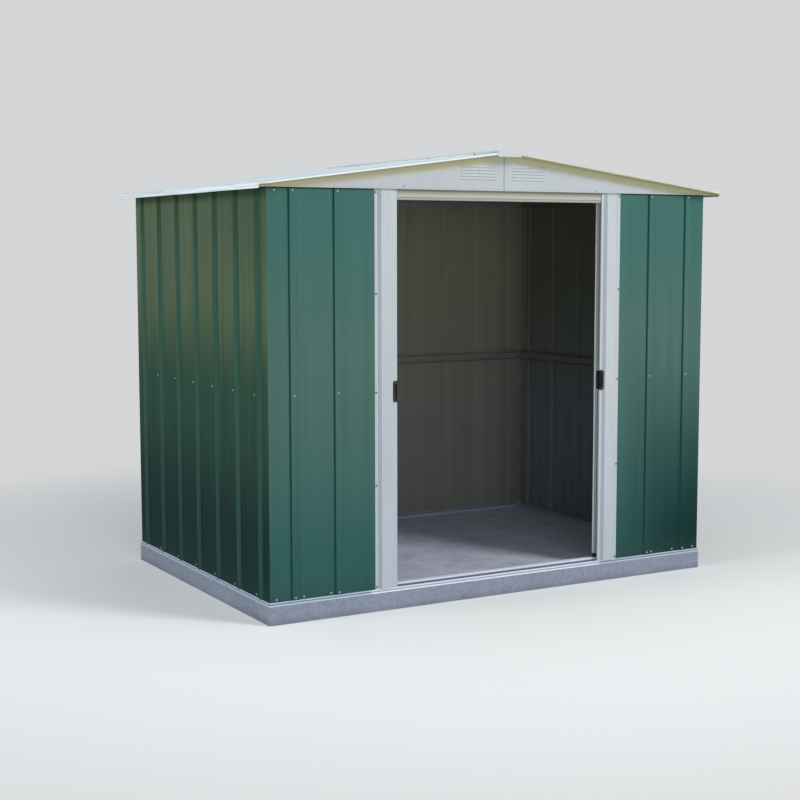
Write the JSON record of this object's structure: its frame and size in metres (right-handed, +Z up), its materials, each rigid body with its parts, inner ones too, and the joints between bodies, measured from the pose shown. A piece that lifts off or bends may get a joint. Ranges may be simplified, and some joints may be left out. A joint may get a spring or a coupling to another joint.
{
  "type": "metal storage shed",
  "caption": "Ribbed sheet-metal garden shed on a concrete base, with a low gable roof and two sliding doors that part in the middle.",
  "frame": {"origin": "middle of the underside of the concrete base", "axes": "+Z up, -Y towards the door front, +X to the right seen from the front"},
  "size_m": [2.47, 1.683, 2.0424],
  "materials": {
    "concrete": "rough cast concrete",
    "zinc_rail": "bright formed rail",
    "white_trim": "satin off-white coating",
    "gable_white": "satin off-white coating",
    "roof_white": "satin white coating",
    "black_plastic": "moulded black plastic",
    "galvanized_frame": "dull galvanized steel",
    "green_sheet": "satin green coating"
  },
  "bodies": {
    "shed": {"base_slab": "concrete", "door_header": "white_trim", "front_floor_rail": "zinc_rail", "front_gable_left": "gable_white", "front_gable_right": "gable_white", "front_left_corner": "green_sheet", "front_left_wall": "green_sheet", "front_right_corner": "green_sheet", "front_right_wall": "green_sheet", "left_door_jamb": "white_trim", "left_eave_trim": "roof_white", "left_floor_rail": "zinc_rail", "left_roof_front": "roof_white", "left_roof_rear": "roof_white", "left_wall_front": "green_sheet", "left_wall_rear": "green_sheet", "middle_rails": "galvanized_frame", "rear_floor_rail": "zinc_rail", "rear_gable_left": "gable_white", "rear_gable_right": "gable_white", "rear_left_corner": "green_sheet", "rear_right_corner": "green_sheet", "rear_wall_left": "green_sheet", "rear_wall_right": "green_sheet", "ridge_beam": "galvanized_frame", "ridge_cap": "roof_white", "ridge_end_caps": "roof_white", "right_door_jamb": "white_trim", "right_eave_trim": "roof_white", "right_floor_rail": "zinc_rail", "right_roof_front": "roof_white", "right_roof_rear": "roof_white", "right_wall_front": "green_sheet", "right_wall_rear": "green_sheet", "roof_beams": "galvanized_frame", "top_rails": "galvanized_frame"},
    "left_door": {"left_door_glides": "black_plastic", "left_door_handle": "black_plastic", "left_door_panel": "green_sheet", "left_door_rails": "white_trim", "left_door_stiles": "white_trim"},
    "right_door": {"right_door_glides": "black_plastic", "right_door_handle": "black_plastic", "right_door_panel": "green_sheet", "right_door_rails": "white_trim", "right_door_stiles": "white_trim"}
  },
  "joints": [
    {"name": "left_door_slide", "type": "slide", "parent": "shed", "child": "left_door", "axis": [1, 0, 0], "range_m": [0, 0.5525]},
    {"name": "right_door_slide", "type": "slide", "parent": "shed", "child": "right_door", "axis": [-1, 0, 0], "range_m": [0, 0.5525]}
  ]
}
